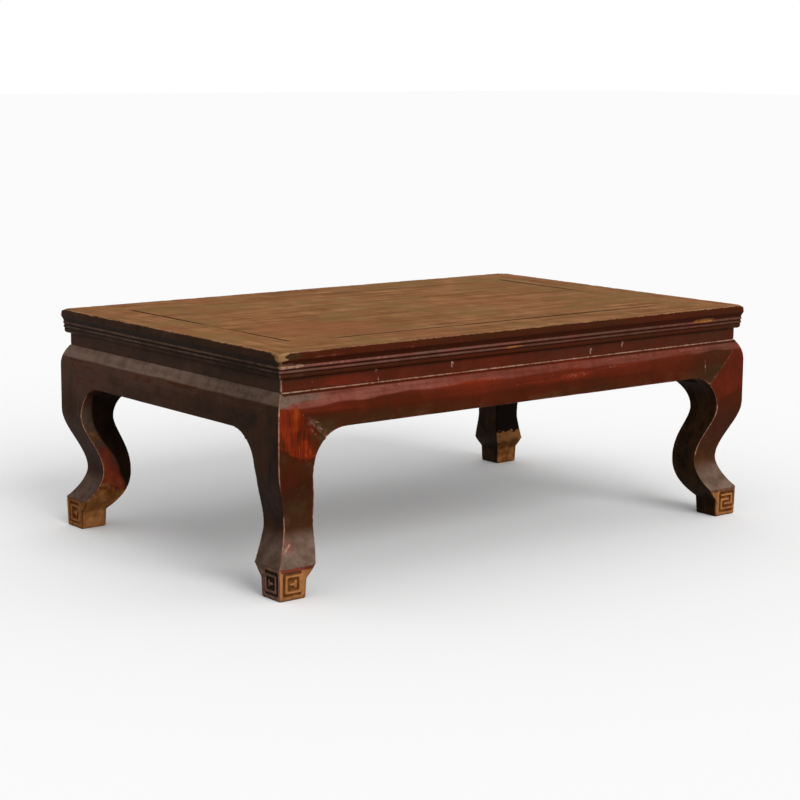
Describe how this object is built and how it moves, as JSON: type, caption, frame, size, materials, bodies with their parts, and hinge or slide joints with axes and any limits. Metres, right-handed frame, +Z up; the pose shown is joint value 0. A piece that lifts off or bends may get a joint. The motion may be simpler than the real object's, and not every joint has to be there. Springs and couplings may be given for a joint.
{
  "type": "kang table",
  "caption": "Low rectangular kang table with a mitred frame top, floating panel, recessed waist, shouldered aprons and S-shaped legs on fret-carved block feet.",
  "frame": {"origin": "on the floor, under the middle of the table", "axes": "+X along the length, +Y from the front to the back, +Z up"},
  "size_m": [0.942, 0.605, 0.352],
  "materials": {
    "worn_top": "old lacquer worn thin to tan-brown wood, satin",
    "top_lacquer": "dark red-brown lacquer with worn edges, satin",
    "red_lacquer": "dark red-brown lacquer, rubbed, satin",
    "leg_lacquer": "dark red-brown lacquer, worn through on the edges and the carved feet",
    "bare_wood": "old bare softwood, matt"
  },
  "bodies": {
    "root": {"top_rail_front": "top_lacquer", "top_rail_back": "top_lacquer", "top_rail_left": "top_lacquer", "top_rail_right": "top_lacquer", "panel_board_1": "worn_top", "panel_board_2": "worn_top", "panel_board_3": "worn_top", "underside_batten_1": "bare_wood", "underside_batten_2": "bare_wood", "underside_batten_3": "bare_wood", "waist_front": "red_lacquer", "waist_back": "red_lacquer", "waist_left": "red_lacquer", "waist_right": "red_lacquer", "apron_front": "red_lacquer", "apron_back": "red_lacquer", "apron_left": "red_lacquer", "apron_right": "red_lacquer", "leg_front_left": "leg_lacquer", "leg_front_right": "leg_lacquer", "leg_back_left": "leg_lacquer", "leg_back_right": "leg_lacquer", "corner_pins": "bare_wood"}
  },
  "joints": []
}
